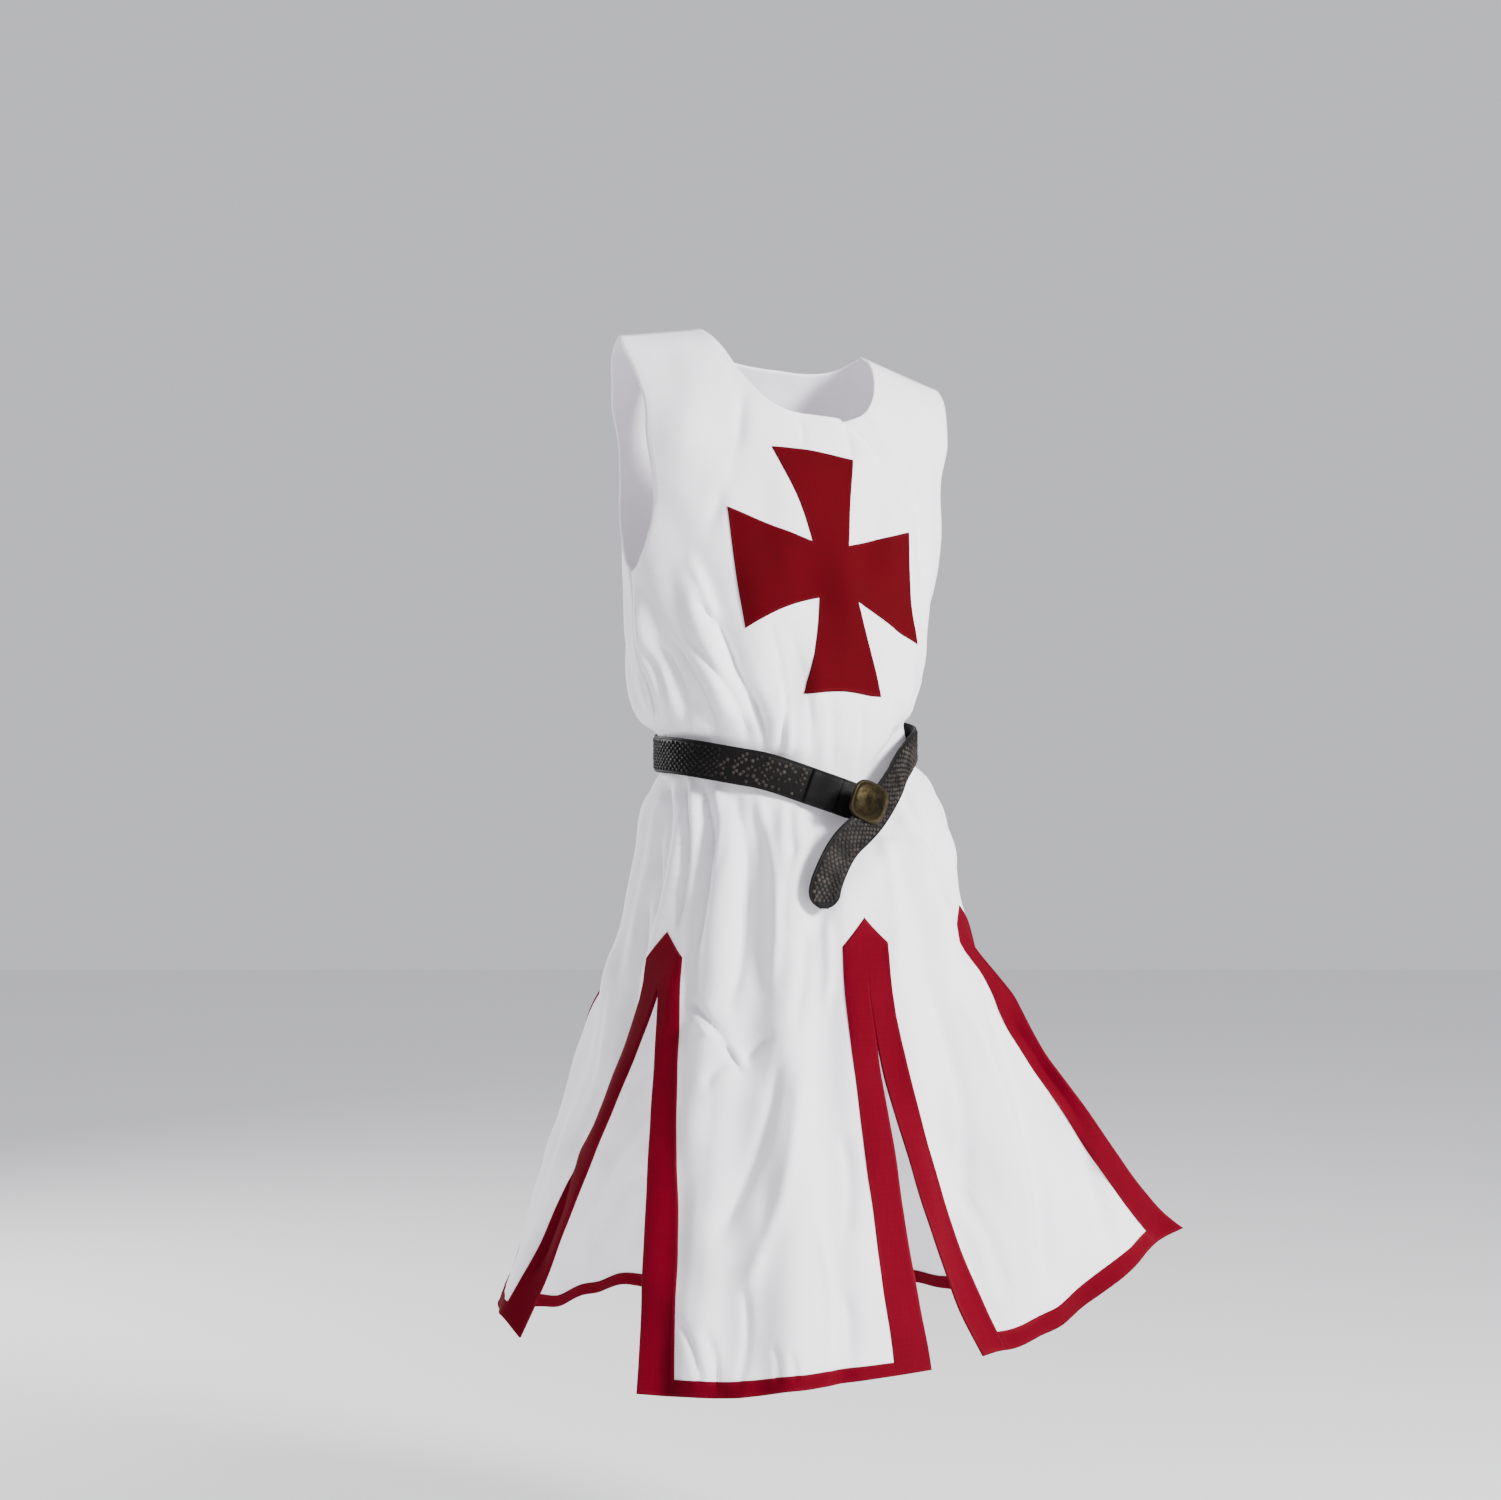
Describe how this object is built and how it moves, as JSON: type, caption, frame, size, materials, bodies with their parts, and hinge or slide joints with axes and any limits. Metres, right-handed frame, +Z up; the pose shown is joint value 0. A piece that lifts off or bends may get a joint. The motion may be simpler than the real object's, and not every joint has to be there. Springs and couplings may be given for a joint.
{
  "type": "tabard",
  "caption": "Sleeveless knee-length tabard with a slit skirt, gabled facings and a flared cross on the chest, worn hollow and gathered by a leather belt with a hanging end.",
  "frame": {"origin": "midway between the shoulder points, where the wearer's shoulders carry the garment", "axes": "+Z up, the front towards -Y, the wearer's left at +X"},
  "size_m": [0.7535, 0.5828, 1.1086],
  "materials": {
    "white_cloth": "plain weave, soft matte",
    "red_cloth": "close plain weave, matte",
    "belt_leather": "near-black leather, embossed with small pebbles, satin",
    "aged_bronze": "antiqued, rubbed on the rim"
  },
  "bodies": {
    "root": {"front_panel": "white_cloth", "back_panel": "white_cloth", "chest_cross": "red_cloth", "slit_facing_right": "red_cloth", "slit_facing_left": "red_cloth", "side_facing_right": "red_cloth", "side_facing_left": "red_cloth", "hem_band_right": "red_cloth", "hem_band_centre": "red_cloth", "hem_band_left": "red_cloth", "hem_band_back": "red_cloth", "hem_turn_up_back": "red_cloth", "belt_strap": "belt_leather", "belt_turned_end": "belt_leather", "clasp_plate": "aged_bronze", "clasp_stud": "aged_bronze"}
  },
  "joints": []
}
